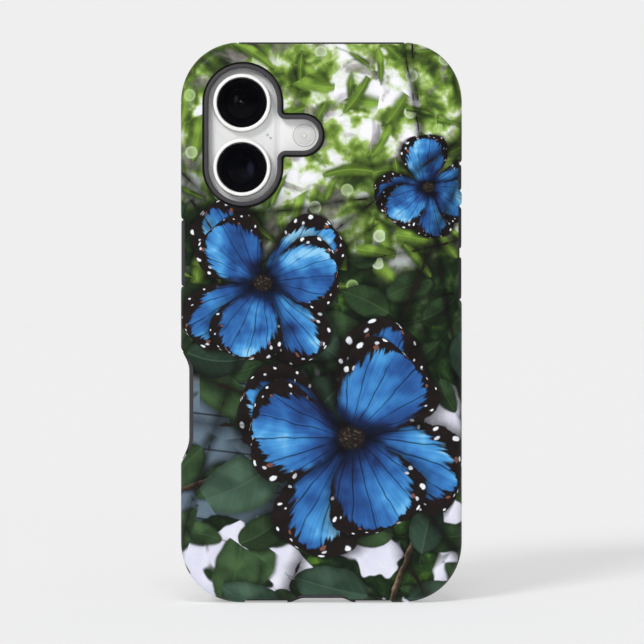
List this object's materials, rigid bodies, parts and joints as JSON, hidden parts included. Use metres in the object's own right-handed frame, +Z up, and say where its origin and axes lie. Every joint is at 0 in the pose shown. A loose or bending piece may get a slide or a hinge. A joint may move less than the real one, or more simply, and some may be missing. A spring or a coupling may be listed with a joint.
{
  "type": "smartphone in a two-layer protective case",
  "caption": "Smartphone in its protective case: a printed hard shell over a rubber liner, open for the camera, charging port and side keys, with key pads that press.",
  "frame": {"origin": "middle of the case's footprint as it stands on its bottom edge, level with that edge", "axes": "+Z up towards the top edge, +X right as seen from the printed back, the printed back faces -Y and the screen +Y"},
  "size_m": [0.0764, 0.0128, 0.1526],
  "materials": {
    "printed_shell": "hard plastic printed all over, satin gloss",
    "liner_rubber": "dark grey rubber, fine matt moulding",
    "aluminium": "bead-blasted and anodised silver",
    "white_glass": "white glass, satin",
    "lens_ring": "polished metal",
    "lens_glass": "coated black lens glass",
    "black_plastic": "matt black",
    "flash_plastic": "clear moulded lens over a pale light",
    "screen_glass": "black glass, polished"
  },
  "bodies": {
    "phone_in_case": {"case_shell": "printed_shell", "case_liner": "liner_rubber", "phone_frame": "aluminium", "back_glass": "white_glass", "lens_ring_upper": "lens_ring", "lens_ring_lower": "lens_ring", "lens_barrel_upper": "black_plastic", "lens_barrel_lower": "black_plastic", "lens_glass_upper": "lens_glass", "lens_glass_lower": "lens_glass", "flash_bowl": "flash_plastic", "flash_light": "flash_plastic", "screen_glass": "screen_glass", "front_camera": "black_plastic", "port_tongue": "black_plastic"},
    "power_key": {"key_power": "aluminium", "pad_power": "liner_rubber"},
    "action_key": {"key_action": "aluminium", "pad_action": "liner_rubber"},
    "volume_up_key": {"key_volume_up": "aluminium", "pad_volume_up": "liner_rubber"},
    "volume_down_key": {"key_volume_down": "aluminium", "pad_volume_down": "liner_rubber"},
    "camera_key": {"key_camera": "aluminium"}
  },
  "joints": [
    {"name": "power_press", "type": "slide", "parent": "phone_in_case", "child": "power_key", "axis": [1, 0, 0], "range_m": [0, 0.00025], "stiffness_N_per_m": 4000},
    {"name": "action_press", "type": "slide", "parent": "phone_in_case", "child": "action_key", "axis": [-1, 0, 0], "range_m": [0, 0.00025], "stiffness_N_per_m": 4000},
    {"name": "volume_up_press", "type": "slide", "parent": "phone_in_case", "child": "volume_up_key", "axis": [-1, 0, 0], "range_m": [0, 0.00025], "stiffness_N_per_m": 4000},
    {"name": "volume_down_press", "type": "slide", "parent": "phone_in_case", "child": "volume_down_key", "axis": [-1, 0, 0], "range_m": [0, 0.00025], "stiffness_N_per_m": 4000},
    {"name": "camera_press", "type": "slide", "parent": "phone_in_case", "child": "camera_key", "axis": [1, 0, 0], "range_m": [0, 0.00015], "stiffness_N_per_m": 4000}
  ]
}
